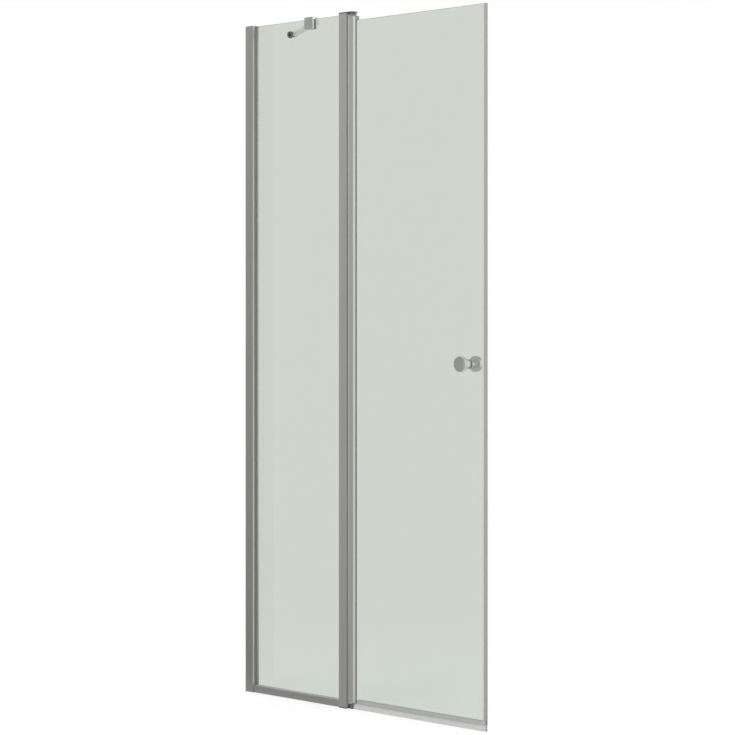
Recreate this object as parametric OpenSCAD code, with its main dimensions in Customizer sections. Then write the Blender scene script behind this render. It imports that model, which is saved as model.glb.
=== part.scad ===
// Shower door: a swing door of toughened glass, hung on a hinge post that a
// narrow fixed pane joins to the wall. X runs from the wall to the free edge
// of the door, Y from the outside to the inside of the shower, Z up from the
// tray. The origin is where the wall, the tray and the middle of the glass meet.

/* [Overall] */
// Height from the tray to the top of the pivot plate
overall_h = 1850; // [1700:10:2000]
// Width from the wall to the free edge of the closed door
overall_w = 889; // [800:1:1000]
// Thickness of the toughened glass
glass_t = 6; // [5:0.5:8]
// Distance from the wall to the hinge axis
hinge_x = 411.5; // [330:0.5:480]
// Height of the fixed pane's top edge below the top of the door
fixed_drop = 5; // [4:0.5:12]
// Height of the swinging pane's top edge below the top of the door
door_drop = 23; // [18:0.5:32]

/* [Wall profile] */
// Depth of the wall channel along X
channel_x = 15; // [12:0.5:15]
// Wall of the wall channel
channel_t = 1.8; // [1.5:0.1:2.2]
// Diameter of the holes for the wall screws
wall_hole_d = 5; // [4:0.5:6.5]
// Distance between neighbouring wall screws
wall_hole_pitch = 780; // [600:10:820]

/* [Glazing profile] */
// Width of the glazing profile across the glass
glaze_y = 27; // [25:0.5:30]
// Distance of the glazing profile's free edge from the wall
glaze_x = 31; // [31:0.5:38]
// Wall of the glazing profile
glaze_t = 1.8; // [1.5:0.1:2]
// Gap between the glazing profile and the wall
glaze_gap = 0.5; // [0.5:0.5:3]
// Thickness of the cap on top of the wall profile
cap_t = 2; // [1.5:0.5:3]

/* [Glass pockets] */
// Depth of the pockets that hold the upright edges of the fixed pane
pocket_d = 13; // [10:0.5:13]
// Thickness of the rubber gaskets beside the glass
gasket_t = 2.5; // [2:0.1:3]
// Length of gasket inside a pocket
gasket_in = 8; // [5:0.5:9]
// Thickness of the thin gaskets in the hinge tube
hinge_gasket_t = 1; // [0.8:0.1:1.5]
// Length of the gasket lip beside the hinge tube
hinge_lip = 2.5; // [0.5:0.5:3]
// Length of the gasket lip that shows beside a profile
gasket_lip = 5; // [2:0.5:6]

/* [Bottom rail] */
// Height of the bottom rail
rail_h = 20; // [18:0.5:30]
// Width of the bottom rail across the glass
rail_y = 20; // [18:0.5:24]
// Wall of the bottom rail
rail_t = 1.8; // [1.5:0.1:2.2]
// Height of the floor of the rail's glass pocket
rail_floor = 11; // [8:0.5:13]
// Thickness of the setting blocks under the fixed pane
block_t = 1; // [1:0.5:3]
// Length of a setting block
block_x = 40; // [25:1:60]

/* [Hinge post] */
// Width of the post along X
post_x = 28; // [26:0.5:34]
// Width of the post across the glass
post_y = 28; // [27:0.5:34]
// Wall of the post
post_t = 2; // [1.5:0.1:2.3]
// Diameter of the screws that hold the pivot plates
plate_screw_d = 4; // [3.5:0.1:4.2]
// Length of the screws that hold the pivot plates
plate_screw_l = 22; // [16:1:30]

/* [Pivot] */
// Diameter of the round hinge tube
tube_d = 26; // [25:0.5:28]
// Wall of the hinge tube
tube_t = 1.8; // [1.5:0.1:2.2]
// Diameter of the pivot pins
pin_d = 6; // [5:0.5:6.5]
// Length of a pivot pin below or above its plate
pin_l = 24; // [20:0.5:34]
// Wall of the plug sleeve round a pivot pin
sleeve_t = 1.9; // [1.5:0.1:2]
// Thickness of the pivot plates
plate_t = 3; // [2.5:0.5:5]
// Height of the upper pivot bush
top_bush_h = 7.3; // [4:0.1:9]
// Height of the lower pivot bush
foot_bush_h = 10.5; // [6:0.5:12]
// Diameter of the upper pivot bush
bush_d = 20; // [16:0.5:22]
// Diameter of the foot plate's round end and of the lower pivot bush
foot_d = 13; // [12:0.5:13]
// Width of the neck between the post and the lower pivot bush
foot_neck = 9; // [8:0.5:9]
// Thickness of the flange of a tube plug
plug_t = 2.4; // [2:0.1:4]
// How far the upper plug's nose stands out beside the tube, above the pane
plug_nose = 9; // [0:0.5:12]

/* [Door pane] */
// Gap between the lower tube plug and the swinging pane
door_lift = 0.8; // [0.5:0.1:6]
// Distance from the hinge axis to the pane's edge in the tube
door_inset = 7; // [7:0.5:9]

/* [Free edge seal] */
// Length of the edge seal from its clip to its striking face
edge_seal_x = 9; // [9:0.5:13]
// Depth of the clip on the glass edge
edge_clip_x = 4; // [3:0.5:4.5]
// Width of the magnet chamber across the glass
edge_box_y = 10; // [9:0.5:14]
// Wall of the seals
seal_t = 1; // [0.8:0.1:1.1]

/* [Bottom seal] */
// Height of the clip legs on the bottom edge of the glass
leg_h = 9.5; // [8:0.5:16]
// Distance of the lip's edge above the tray
lip_gap = 0.5; // [0.3:0.1:3]
// How far the two wiping lips lean apart, each to its side
lip_lean = 4; // [2:0.5:4.5]
// Distance from the hinge axis to the start of the lips, under the hinge tube
lip_inset = 7; // [7:0.5:12]

/* [Knob] */
// Diameter of the knob heads
knob_d = 40; // [30:1:50]
// Thickness of the knob heads
knob_head = 12; // [9:0.5:16]
// Distance from the glass to the front of a knob
knob_out = 32; // [26:0.5:42]
// Diameter of the knob necks
neck_d = 20; // [14:0.5:24]
// Height of the knob above the tray
knob_z = 921; // [850:1:1050]
// Distance of the knob from the free edge of the door
knob_edge = 61; // [45:1:110]
// Diameter of the stud through the glass
stud_d = 6; // [5:0.5:8]
// Diameter of the hole in the glass for the stud
glass_hole_d = 12; // [11:0.5:14]

/* [Glass clamp] */
// Distance of the clamp's middle from the wall
clamp_at = 252; // [170:1:300]
// Width and height of the square clamp
clamp_w = 32; // [30:1:40]
// Thickness of a clamp jaw
jaw_t = 6.5; // [5:0.5:9]
// Thickness of the pads between clamp and glass
pad_t = 1.3; // [1:0.1:2]
// Diameter of the clamp's set screws
set_screw_d = 5; // [4:0.5:5]

/* [Stabiliser] */
// Diameter of the stabiliser bar
bar_d = 16; // [15:0.5:19]
// Wall of the stabiliser bar
bar_t = 1.5; // [1:0.1:2]
// Angle between the bar and the fixed pane
bar_angle = 30.5; // [24:0.5:40]
// Height of the bar above the middle of the clamp
bar_rise = 5; // [0:0.5:5]
// Distance from the clamp jaw to its swivel pin
knuckle_y = 11; // [10:0.5:16]
// Diameter of the swivel knuckles
knuckle_d = 13; // [13:0.5:15]
// Thickness of the eye between the two ears of a knuckle
eye_t = 6; // [6:0.5:8]
// Thickness of one ear of a knuckle
ear_t = 3; // [3:0.1:5]
// Diameter of the swivel pins
swivel_d = 5; // [4:0.5:6]
// Diameter of the wall flange
flange_d = 20; // [20:1:40]
// Thickness of the wall flange
flange_t = 4; // [3:0.5:6]
// Diameter of the hole in the wall flange
flange_hole_d = 5; // [4:0.5:6]
// Distance from the wall to the flange's swivel pin
flange_pin_x = 20; // [18:0.5:26]

/* [Hidden] */
$fn = 48;

// Clearances
slide_gap = 0.2;
run_gap = 0.3;
pin_fit = 0.05;
bore_fit = 0.02;
screw_fit = 0.1;

// Cut that passes right through a face
past = 1;
corner_r = 1.5;

// Heights of the fixed side
profile_top = overall_h - plate_t;
post_foot = plate_t;
fixed_glass_top = overall_h - fixed_drop;
fixed_glass_foot = rail_floor + block_t;

// Widths across the glass
pane = glass_t / 2;
pocket = pane + gasket_t;
tube_slot = pane + hinge_gasket_t;
gasket_tip = 0.6;
channel_y = glaze_y - 2 * glaze_t - 2 * slide_gap;

rail_gasket_t = 1.4;
rail_gasket_foot = fixed_glass_foot + 1;
rail_gasket_top = rail_h + 0.6;

// Glazing profile and its screws
web_t = 2;
pocket_x = glaze_x - pocket_d;
fixed_glass_x = pocket_x + 1;
lock_screw_d = 4;
lock_head_d = 7;
lock_head_t = 1.8;
lock_screw_x = channel_x - 5;
lock_screw_zs = [for (i = [-1, 0, 1]) profile_top / 2 + i * (wall_hole_pitch - 60)];
wall_hole_zs = [for (i = [-1, 0, 1]) profile_top / 2 + i * wall_hole_pitch];

// Hinge post
tube_r = tube_d / 2;
nest = 1.5;
post_x1 = hinge_x - tube_r + nest;
post_x0 = post_x1 - post_x;
post_pocket_x = post_x0 + pocket_d;
fixed_glass_x1 = post_pocket_x - 1;
port_x = (post_pocket_x + post_t + post_x1) / 2 - 2;
port_y = post_y / 2 - 5.5;
seal_slot = 2;
seal_slot_x = 3.5;
seal_slot_y = post_y / 2 - 4.5;

// Pivot
core_r = pin_d / 2 + pin_fit + sleeve_t;
hub_r = core_r + tube_t;
tube_pocket = core_r + tube_t - 0.3;
plug_top = profile_top - top_bush_h - run_gap;
plug_foot = plate_t + foot_bush_h + run_gap;
tube_top = plug_top - plug_t;
tube_foot = plug_foot + plug_t;
plug_reach = 13.6;
foot_backing = 2;

// Door
door_top = overall_h - door_drop;
door_z = tube_foot + door_lift;
edge_box_x = edge_seal_x - edge_clip_x - seal_t;
door_glass_x0 = hinge_x + door_inset;
door_glass_x1 = overall_w - edge_box_x - seal_t;
magnet_fit = 0.1;
magnet_x = edge_box_x - 2 * (seal_t + magnet_fit);
magnet_y = edge_box_y - 2 * (seal_t + magnet_fit);
seal_x0 = hinge_x + tube_r + 6.5;
lip_x0 = hinge_x + lip_inset;
leg_y = pane + seal_t;
leg_top = door_z + leg_h;
lip_root_z = door_z - 2 * seal_t;

// Knob
knob_x = overall_w - knob_edge;
knob_round = 2;
knob_base_t = 1;
stud_reach = knob_out - knob_head / 2;
base_d = neck_d + 4;

// Clamp and stabiliser
jaw_y = pane + pad_t;
clamp_z0 = overall_h - clamp_w;
clamp_back = jaw_y + jaw_t;
bar_z = overall_h - clamp_w / 2 + bar_rise;
bar_r = bar_d / 2;
washer_t = 1;
ear_z = eye_t / 2 + washer_t + 2 * bore_fit;
clamp_pin = [clamp_at, clamp_back + knuckle_y];
bar_run = (clamp_at - flange_pin_x) / cos(bar_angle);
flange_pin = clamp_pin + bar_run * [-cos(bar_angle), sin(bar_angle)];
bar_start = knuckle_d / 2 + 4;
spigot_l = 24;
grub_d = 4;
grub_at = bar_start + 12;

// Extrudes an outline drawn in X and Y from z0 up to z1
module upright(z0, z1) {
    translate([0, 0, z0])
        linear_extrude(height = z1 - z0)
            children();
}

// Extrudes an outline drawn in Y and Z from x0 to x1
module level(x0, x1) {
    translate([x0, 0, 0])
        rotate([90, 0, 90])
            linear_extrude(height = x1 - x0)
                children();
}

// Extrudes an outline drawn in X and Z from y0 to y1
module across(y0, y1) {
    translate([0, y1, 0])
        rotate([90, 0, 0])
            linear_extrude(height = y1 - y0)
                children();
}

// Rod along Y from y0 to y1, at x and z
module rod_y(x, z, y0, y1, r) {
    translate([x, y0, z])
        rotate([-90, 0, 0])
            cylinder(r = r, h = y1 - y0);
}

// Rectangle with round corners
module round_rect(w, h, r) {
    translate([r, 0])
        square([w - 2 * r, h]);
    translate([0, r])
        square([w, h - 2 * r]);
    for (x = [r, w - r], y = [r, h - r])
        translate([x, y])
            circle(r = r);
}

// Draws its children on the outer side, or mirrored on the inner side
module on_side(inner) {
    mirror([0, inner ? 0 : 1, 0])
        children();
}

// Section of a glazing gasket of thickness t: along u out of the pocket, v away
// from the glass
module gasket_section(inside, lip, t) {
    polygon([
        [0, pane], [inside + lip, pane], [inside + lip, pane + gasket_tip],
        [inside, pane + t], [0, pane + t]
    ]);
}

// Section of the wall channel
module channel_section() {
    difference() {
        translate([0, -channel_y / 2])
            square([channel_x, channel_y]);
        translate([channel_t, channel_t - channel_y / 2])
            square([channel_x, channel_y - 2 * channel_t]);
    }
}

// Section of the glazing profile that slides over the wall channel
module glazing_section() {
    flank_y = pocket + glaze_t;
    flank_h = glaze_y / 2 - glaze_t - flank_y;
    difference() {
        translate([glaze_gap, -glaze_y / 2])
            round_rect(glaze_x - glaze_gap, glaze_y, corner_r);
        translate([-past, glaze_t - glaze_y / 2])
            square([pocket_x - web_t + past, glaze_y - 2 * glaze_t]);
        translate([pocket_x, -pocket])
            square([pocket_d + past, 2 * pocket]);
        for (y = [flank_y, -flank_y - flank_h])
            translate([pocket_x, y])
                square([pocket_d - glaze_t, flank_h]);
    }
}

// Section of the bottom rail, across and up
module rail_section() {
    slot = pane + rail_gasket_t;
    difference() {
        translate([-rail_y / 2, 0])
            square([rail_y, rail_h]);
        translate([-slot, rail_floor])
            square([2 * slot, rail_h]);
        translate([rail_t - rail_y / 2, rail_t])
            square([rail_y - 2 * rail_t, rail_floor - 2 * rail_t]);
        for (y = [rail_t - rail_y / 2, slot + rail_t])
            translate([y, rail_floor])
                square([rail_y / 2 - slot - 2 * rail_t, rail_h - rail_floor - rail_t]);
    }
}

// Section of the hinge post
module post_section() {
    flank_y = pocket + post_t;
    flank_h = post_y / 2 - post_t - flank_y;
    core_x = post_pocket_x + post_t;
    difference() {
        translate([post_x0, -post_y / 2])
            round_rect(post_x, post_y, corner_r);
        translate([post_x0 - past, -pocket])
            square([pocket_d + past, 2 * pocket]);
        for (y = [flank_y, -flank_y - flank_h])
            translate([post_x0 + post_t, y])
                square([pocket_d - post_t, flank_h]);
        translate([core_x, -port_y / 2])
            square([post_x1 - nest - 2 * post_t - core_x, port_y]);
        for (side = [-1, 1]) {
            translate([port_x, side * port_y])
                circle(d = plate_screw_d + 2 * screw_fit);
            translate([post_x1 - seal_slot_x, side * seal_slot_y - seal_slot / 2])
                square([seal_slot_x + past, seal_slot]);
        }
        translate([hinge_x, 0])
            circle(r = tube_r + 2 * run_gap);
    }
}

// Section of the round hinge tube with its pocket for the swinging pane
module tube_section() {
    difference() {
        circle(r = tube_r);
        circle(r = core_r);
        translate([tube_pocket, -tube_slot])
            square([tube_r, 2 * tube_slot]);
        difference() {
            circle(r = tube_r - tube_t);
            circle(r = hub_r);
            translate([0, -tube_slot - tube_t])
                square([tube_r, 2 * (tube_slot + tube_t)]);
            translate([-tube_r, -tube_t / 2])
                square([tube_r, tube_t]);
        }
    }
}

// Outline of a pivot plate: square on the post, a neck, round about the hinge axis
module plate_section(neck, end_d) {
    difference() {
        union() {
            translate([post_x0, -post_y / 2])
                round_rect(post_x, post_y, corner_r);
            translate([post_x1 - 2 * corner_r, -neck / 2])
                square([hinge_x - post_x1 + 2 * corner_r, neck]);
            translate([hinge_x, 0])
                circle(d = end_d);
        }
        translate([hinge_x, 0])
            circle(d = pin_d + 2 * bore_fit);
    }
}

// Pivot plate with countersunk holes, its post side on the plane z = 0
module pivot_plate(neck, end_d) {
    difference() {
        upright(0, plate_t)
            plate_section(neck, end_d);
        for (side = [-1, 1])
            translate([port_x, side * port_y, 0])
                countersunk(screw_fit, past);
    }
}

// Countersunk screw whose head ends at the plate's outer face
module countersunk(grow, above) {
    r = plate_screw_d / 2 + grow;
    head_r = plate_screw_d + grow;
    translate([0, 0, -plate_screw_l])
        cylinder(r = r, h = plate_screw_l + plate_t - head_r + r);
    translate([0, 0, plate_t - head_r + r])
        cylinder(r1 = r, r2 = head_r, h = head_r - r);
    translate([0, 0, plate_t - 0.01])
        cylinder(r = head_r, h = above);
}

// Two plate screws with a cross slot in each head
module plate_screws() {
    for (side = [-1, 1])
        translate([port_x, side * port_y, 0])
            difference() {
                countersunk(0, 0.01);
                for (a = [0, 90])
                    rotate([0, 0, a])
                        translate([-plate_screw_d / 2, -0.4, plate_t - 1.4])
                            cube([plate_screw_d, 0.8, 2]);
            }
}

// Puts a piece drawn on the top plate in its place
module at_top() {
    translate([0, 0, profile_top])
        children();
}

// Puts a piece drawn for the top plate upside down on the foot plate
module at_foot() {
    translate([0, 0, plate_t])
        mirror([0, 0, 1])
            children();
}

// Pivot pin, from the plate's outer face down into the tube plug
module pivot_pin() {
    translate([hinge_x, 0, -pin_l])
        cylinder(d = pin_d, h = pin_l + plate_t);
}

// Bush between a pivot plate and the tube plug
module pivot_bush(h, d) {
    translate([hinge_x, 0, -h])
        difference() {
            union() {
                cylinder(d = d, h = h);
                children();
            }
            translate([0, 0, -past])
                cylinder(d = pin_d + 2 * bore_fit, h = h + 2 * past);
        }
}

// Plug in the end of the hinge tube, its outer face on the plane z = 0: a round
// flange, a sleeve inside the tube and a bore for the pivot pin
module tube_plug() {
    reach = plug_t + plug_reach;
    difference() {
        union() {
            translate([0, 0, -plug_t])
                cylinder(r = tube_r, h = plug_t);
            translate([0, 0, -reach])
                cylinder(r = core_r - pin_fit, h = reach);
        }
        translate([0, 0, -reach - past])
            cylinder(r = pin_d / 2 + pin_fit, h = reach + 2 * past);
    }
}

// Filler that closes the tube's glass pocket above the pane, with a nose as thick
// as the pane that stands out beside the tube
module pocket_filler(h) {
    fill_x = tube_pocket + slide_gap / 2;
    fill_y = tube_slot - slide_gap;
    intersection() {
        cylinder(r = tube_r, h = h);
        translate([fill_x, -fill_y, 0])
            cube([tube_r, 2 * fill_y, h]);
    }
    translate([fill_x, -pane, 0])
        cube([tube_r + plug_nose - fill_x, glass_t, h]);
}

// Knob turned on a lathe: neck, round-edged head and the bore for its stud
module knob() {
    difference() {
        rotate_extrude()
            knob_section();
        translate([0, 0, -past])
            cylinder(d = stud_d + 2 * pin_fit, h = stud_reach - knob_base_t + past + run_gap);
    }
}

// Half section of a knob, from its foot at y = 0 out to its face
module knob_section() {
    h = knob_out - knob_base_t;
    head_y = h - knob_head;
    r = knob_d / 2;
    hollow_r = (base_d - neck_d) / 2;
    square([neck_d / 2, h - knob_round]);
    difference() {
        square([base_d / 2, hollow_r]);
        translate([base_d / 2, hollow_r])
            circle(r = hollow_r);
    }
    translate([0, head_y])
        square([r - knob_round, knob_head]);
    translate([0, head_y + knob_round])
        square([r, knob_head - 2 * knob_round]);
    for (y = [head_y + knob_round, h - knob_round])
        translate([r - knob_round, y])
            circle(r = knob_round);
}

// Puts a piece drawn upright on the outer or inner face of the door pane
module on_door_face(inner) {
    translate([knob_x, 0, knob_z])
        rotate([inner ? -90 : 90, 0, 0])
            translate([0, 0, pane])
                children();
}

// Two ears of a swivel knuckle round a pin at the origin, on a root that runs
// a distance along X to whatever carries them
module ears(reach) {
    for (z = [-ear_z - ear_t, ear_z])
        translate([0, 0, z])
            difference() {
                union() {
                    cylinder(d = knuckle_d, h = ear_t);
                    translate([0, -knuckle_d / 2, 0])
                        cube([reach, knuckle_d, ear_t]);
                }
                translate([0, 0, -past])
                    cylinder(d = swivel_d + 2 * bore_fit, h = ear_t + 2 * past);
            }
}

// Low round-headed swivel pin through both ears
module swivel_pin() {
    half = ear_z + ear_t;
    translate([0, 0, -half])
        cylinder(d = swivel_d, h = 2 * half);
    for (z = [-half - 1.2, half])
        translate([0, 0, z])
            cylinder(d = swivel_d + 3, h = 1.2);
}

// Two thin washers beside the eye of a knuckle
module swivel_washers() {
    for (z = [-ear_z + bore_fit, ear_z - bore_fit - washer_t])
        translate([0, 0, z])
            difference() {
                cylinder(d = knuckle_d - 1, h = washer_t);
                translate([0, 0, -past])
                    cylinder(d = swivel_d + 2 * pin_fit, h = washer_t + 2 * past);
            }
}

// End fitting of the bar: an eye at the origin, a collar and a spigot along X
module bar_end() {
    difference() {
        union() {
            translate([0, 0, -eye_t / 2])
                cylinder(d = knuckle_d, h = eye_t);
            translate([0, -knuckle_d / 2 + 1, -eye_t / 2])
                cube([bar_start, knuckle_d - 2, eye_t]);
            translate([bar_start - 3, 0, 0])
                rotate([0, 90, 0])
                    cylinder(r = bar_r, h = 3);
            translate([bar_start - 1, 0, 0])
                rotate([0, 90, 0])
                    cylinder(r = bar_r - bar_t - pin_fit, h = spigot_l);
        }
        translate([0, 0, -eye_t])
            cylinder(d = swivel_d + 2 * pin_fit, h = 2 * eye_t);
        translate([grub_at, 0, -bar_r - past])
            cylinder(d = grub_d + 2 * bore_fit, h = bar_r + past);
    }
}

// Short socket screw along Z with its socket at the low end
module socket_screw(d, l) {
    difference() {
        cylinder(d = d, h = l);
        translate([0, 0, -past])
            cylinder(d = d / 2, h = past + l / 3, $fn = 6);
    }
}

// Turns a piece drawn along X so that it points from the clamp to the wall
module along_bar() {
    translate([clamp_pin[0], clamp_pin[1], bar_z])
        rotate([0, 0, 180 - bar_angle])
            children();
}

// Turns a piece drawn along X so that it points from the wall to the clamp
module along_bar_back() {
    translate([flange_pin[0], flange_pin[1], bar_z])
        rotate([0, 0, -bar_angle])
            children();
}

module wall_channel() {
    color("#a9a9a6")
        difference() {
            upright(0, profile_top - cap_t)
                channel_section();
            for (z = wall_hole_zs)
                translate([-past, 0, z])
                    rotate([0, 90, 0])
                        cylinder(d = wall_hole_d, h = channel_t + 2 * past);
            for (z = lock_screw_zs)
                rod_y(lock_screw_x, z, 0, channel_y, lock_screw_d / 2 + bore_fit);
        }
}

module glazing_profile() {
    color("#b4b4b1")
        difference() {
            upright(0, profile_top - cap_t)
                glazing_section();
            for (z = lock_screw_zs)
                rod_y(lock_screw_x, z, channel_y / 2, glaze_y, lock_screw_d / 2 + screw_fit);
        }
}

module profile_lock_screws() {
    color("#c9c9c7")
        for (z = lock_screw_zs)
            difference() {
                union() {
                    rod_y(lock_screw_x, z, channel_y / 2 - channel_t - 2, glaze_y / 2, lock_screw_d / 2);
                    rod_y(lock_screw_x, z, glaze_y / 2, glaze_y / 2 + lock_head_t, lock_head_d / 2);
                }
                for (a = [0, 90])
                    translate([lock_screw_x, glaze_y / 2 + lock_head_t, z])
                        rotate([0, a, 0])
                            cube([lock_screw_d, 2, 0.8], center = true);
            }
}

module profile_top_cap() {
    color("#9b9b98")
        upright(profile_top - cap_t, profile_top)
            translate([glaze_gap, -glaze_y / 2])
                round_rect(glaze_x - glaze_gap, glaze_y, corner_r);
}

module fixed_glass() {
    color("#d5dbd3")
        translate([fixed_glass_x, -pane, fixed_glass_foot])
            cube([fixed_glass_x1 - fixed_glass_x, glass_t, fixed_glass_top - fixed_glass_foot]);
}

module wall_gasket(inner) {
    color(inner ? "#c4c6c2" : "#4c4d4b")
        upright(rail_gasket_top, profile_top - cap_t)
            on_side(inner)
                translate([glaze_x - gasket_in, 0])
                    gasket_section(gasket_in, gasket_lip, gasket_t);
}

module wall_gasket_outer() {
    wall_gasket(false);
}

module wall_gasket_inner() {
    wall_gasket(true);
}

module bottom_rail() {
    color("#9d9e9b")
        level(glaze_x, post_x0)
            rail_section();
}

module rail_gasket(inner) {
    color("#c4c6c2")
        level(glaze_x, post_x0)
            mirror([inner ? 0 : 1, 0])
                translate([pane, rail_gasket_foot])
                    square([rail_gasket_t, rail_gasket_top - rail_gasket_foot]);
}

module rail_gasket_outer() {
    rail_gasket(false);
}

module rail_gasket_inner() {
    rail_gasket(true);
}

module setting_blocks() {
    span = post_x0 - glaze_x;
    color("#3a3b3c")
        for (x = [glaze_x + span / 4, post_x0 - span / 4])
            translate([x - block_x / 2, -pane, rail_floor])
                cube([block_x, glass_t, block_t]);
}

module post_profile() {
    color("#b4b4b1")
        upright(post_foot, profile_top)
            post_section();
}

module post_gasket(inner) {
    color("#c4c6c2")
        upright(rail_gasket_top, profile_top)
            on_side(inner)
                translate([post_x0 + gasket_in, 0])
                    mirror([1, 0])
                        gasket_section(gasket_in, gasket_lip, gasket_t);
}

module post_gasket_outer() {
    post_gasket(false);
}

module post_gasket_inner() {
    post_gasket(true);
}

module post_seal(inner) {
    color("#6f706d")
        upright(post_foot, profile_top)
            on_side(inner)
                difference() {
                    translate([post_x1 - seal_slot_x, seal_slot_y - seal_slot / 2])
                        square([seal_slot_x + tube_r / 2, seal_slot]);
                    translate([hinge_x, 0])
                        circle(r = tube_r + run_gap);
                }
}

module post_seal_outer() {
    post_seal(false);
}

module post_seal_inner() {
    post_seal(true);
}

module top_pivot_plate() {
    color("#a3a3a0")
        at_top()
            pivot_plate(tube_d, tube_d);
}

module foot_pivot_plate() {
    color("#6c6d6b")
        at_foot()
            pivot_plate(foot_neck, foot_d);
}

module top_plate_screws() {
    color("#c9c9c7")
        at_top()
            plate_screws();
}

module foot_plate_screws() {
    color("#c9c9c7")
        at_foot()
            plate_screws();
}

module top_pivot_pin() {
    color("#c9c9c7")
        at_top()
            pivot_pin();
}

module foot_pivot_pin() {
    color("#c9c9c7")
        at_foot()
            pivot_pin();
}

module top_pivot_bush() {
    color("#2f302f")
        at_top()
            pivot_bush(top_bush_h, bush_d);
}

module foot_pivot_bush() {
    color("#2f302f")
        at_foot()
            pivot_bush(foot_bush_h, foot_d)
                translate([foot_backing - tube_r, -foot_neck / 2, 0])
                    cube([tube_r - foot_backing, foot_neck, foot_bush_h]);
}

module clamp_body() {
    color("#b9b9b6")
        difference() {
            union() {
                for (y = [-clamp_back, jaw_y])
                    across(y, y + jaw_t)
                        translate([clamp_at - clamp_w / 2, clamp_z0])
                            round_rect(clamp_w, clamp_w, corner_r);
                translate([clamp_at - clamp_w / 2 + corner_r, -jaw_y, fixed_glass_top + run_gap])
                    cube([clamp_w - 2 * corner_r, 2 * jaw_y, fixed_drop - run_gap]);
                translate([clamp_pin[0], clamp_pin[1], bar_z])
                    rotate([0, 0, -90])
                        ears(knuckle_y + 0.5);
            }
            for (x = [-1, 1])
                rod_y(clamp_at + x * clamp_w / 3, clamp_z0 + clamp_w / 4, jaw_y - past, clamp_back + past,
                    set_screw_d / 2 + bore_fit);
        }
}

module clamp_pads() {
    color("#3a3b3c")
        for (y = [-jaw_y, pane])
            translate([clamp_at - clamp_w / 2 + 1, y, clamp_z0 + 1])
                cube([clamp_w - 2, pad_t, fixed_glass_top - clamp_z0 - 1]);
}

module clamp_set_screws() {
    color("#8d8e8c")
        for (x = [-1, 1])
            translate([clamp_at + x * clamp_w / 3, clamp_back - 0.5, clamp_z0 + clamp_w / 4])
                rotate([90, 0, 0])
                    socket_screw(set_screw_d, jaw_t - 0.5);
}

module clamp_swivel_pin() {
    color("#c9c9c7")
        translate([clamp_pin[0], clamp_pin[1], bar_z])
            swivel_pin();
}

module clamp_washers() {
    color("#2f302f")
        translate([clamp_pin[0], clamp_pin[1], bar_z])
            swivel_washers();
}

module hinge_tube() {
    color("#b9b9b6")
        upright(tube_foot, tube_top)
            translate([hinge_x, 0])
                tube_section();
}

module upper_tube_plug() {
    filler = tube_top - door_top - run_gap;
    color("#8f918f")
        translate([hinge_x, 0, plug_top]) {
            tube_plug();
            translate([0, 0, -plug_t - filler])
                pocket_filler(filler);
        }
}

module lower_tube_plug() {
    color("#8f918f")
        difference() {
            translate([hinge_x, 0, plug_foot])
                mirror([0, 0, 1])
                    tube_plug();
            translate([lip_x0 - run_gap, -tube_r, plug_foot - past])
                cube([tube_r, tube_d, plug_t + past]);
        }
}

module door_glass() {
    color("#d5dbd3")
        difference() {
            translate([door_glass_x0, -pane, door_z])
                cube([door_glass_x1 - door_glass_x0, glass_t, door_top - door_z]);
            rod_y(knob_x, knob_z, -glass_t, glass_t, glass_hole_d / 2);
        }
}

module hinge_gasket(inner) {
    rim = sqrt(pow(tube_r, 2) - pow(tube_slot, 2));
    color(inner ? "#c4c6c2" : "#6f706d")
        upright(door_z, door_top)
            on_side(inner)
                translate([door_glass_x0, 0])
                    gasket_section(hinge_x + rim - door_glass_x0, hinge_lip, hinge_gasket_t);
}

module hinge_gasket_outer() {
    hinge_gasket(false);
}

module hinge_gasket_inner() {
    hinge_gasket(true);
}

module knob_outer() {
    color("#b9b9b6")
        on_door_face(false)
            translate([0, 0, knob_base_t])
                knob();
}

module knob_inner() {
    color("#b9b9b6")
        on_door_face(true)
            translate([0, 0, knob_base_t])
                knob();
}

module knob_stud() {
    color("#c9c9c7")
        rod_y(knob_x, knob_z, -pane - stud_reach, pane + stud_reach, stud_d / 2);
}

module knob_sleeve() {
    color("#e4e6e2")
        difference() {
            rod_y(knob_x, knob_z, -pane, pane, glass_hole_d / 2 - bore_fit);
            rod_y(knob_x, knob_z, -glass_t, glass_t, stud_d / 2 + bore_fit);
        }
}

module knob_washers() {
    color("#e4e6e2")
        for (inner = [false, true])
            on_door_face(inner)
                difference() {
                    cylinder(d = base_d, h = knob_base_t);
                    translate([0, 0, -past])
                        cylinder(d = stud_d + 2 * pin_fit, h = knob_base_t + 2 * past);
                }
}

module edge_seal() {
    clip_x0 = overall_w - edge_seal_x;
    box_x0 = overall_w - edge_box_x;
    color("#c2c4c0")
        upright(leg_top + run_gap, door_top)
            difference() {
                union() {
                    translate([clip_x0, -leg_y])
                        square([edge_clip_x + seal_t, 2 * leg_y]);
                    translate([box_x0, -edge_box_y / 2])
                        round_rect(edge_box_x, edge_box_y, 1);
                }
                translate([clip_x0 - past, -pane])
                    square([edge_clip_x + past, glass_t]);
                translate([box_x0 + seal_t, seal_t - edge_box_y / 2])
                    square([edge_box_x - 2 * seal_t, edge_box_y - 2 * seal_t]);
            }
}

module edge_magnet() {
    color("#55524f")
        upright(leg_top + 3, door_top - 3)
            translate([overall_w - seal_t - magnet_fit - magnet_x, -magnet_y / 2])
                square([magnet_x, magnet_y]);
}

module bottom_seal() {
    color("#b5b8b3")
        level(seal_x0, overall_w)
            difference() {
                translate([-leg_y, lip_root_z])
                    square([2 * leg_y, leg_top - lip_root_z]);
                translate([-pane, door_z])
                    square([glass_t, leg_h + past]);
            }
}

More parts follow.
